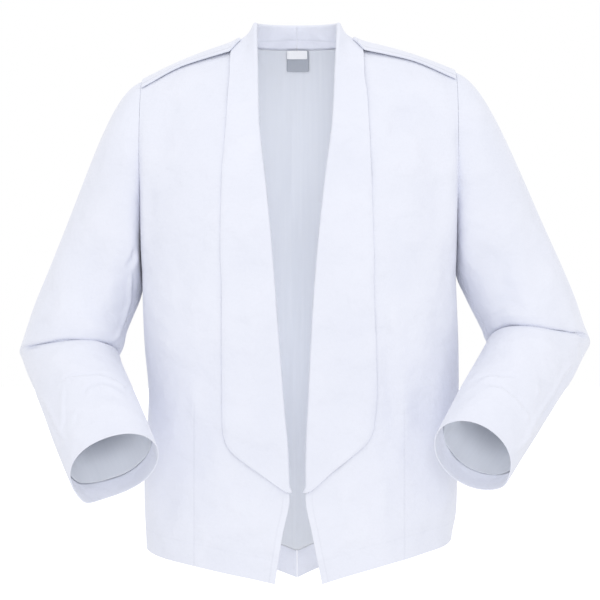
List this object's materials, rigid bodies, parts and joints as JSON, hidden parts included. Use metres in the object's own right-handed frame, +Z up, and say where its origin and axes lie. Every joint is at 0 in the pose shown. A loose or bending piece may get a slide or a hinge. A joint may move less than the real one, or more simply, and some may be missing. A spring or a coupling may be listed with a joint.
{
  "type": "military dress jacket",
  "caption": "Short white dress-uniform jacket with a long shawl lapel, open front, shoulder straps and bent sleeves, filled out as when worn.",
  "frame": {"origin": "middle of the neck base, between the neck ends of the shoulder seams, where a wearer's shoulders hold the jacket", "axes": "+Z up, the front faces -Y, the jacket's own left side is +X"},
  "size_m": [0.7483, 0.3269, 0.7415],
  "materials": {
    "white_cloth": "fine woven cloth, matt",
    "grey_lining": "smooth lining, slight sheen",
    "white_tape": "woven tape",
    "grey_tape": "woven tape"
  },
  "bodies": {
    "root": {"front_right": "white_cloth", "back_right": "white_cloth", "shawl_right": "white_cloth", "strap_right": "white_cloth", "sleeve_top_right": "white_cloth", "sleeve_under_right": "white_cloth", "lining_cuff_right": "grey_lining", "front_left": "white_cloth", "back_left": "white_cloth", "shawl_left": "white_cloth", "strap_left": "white_cloth", "sleeve_top_left": "white_cloth", "sleeve_under_left": "white_cloth", "lining_cuff_left": "grey_lining", "lining_back": "grey_lining", "label_grey": "grey_tape", "label_white": "white_tape"}
  },
  "joints": []
}
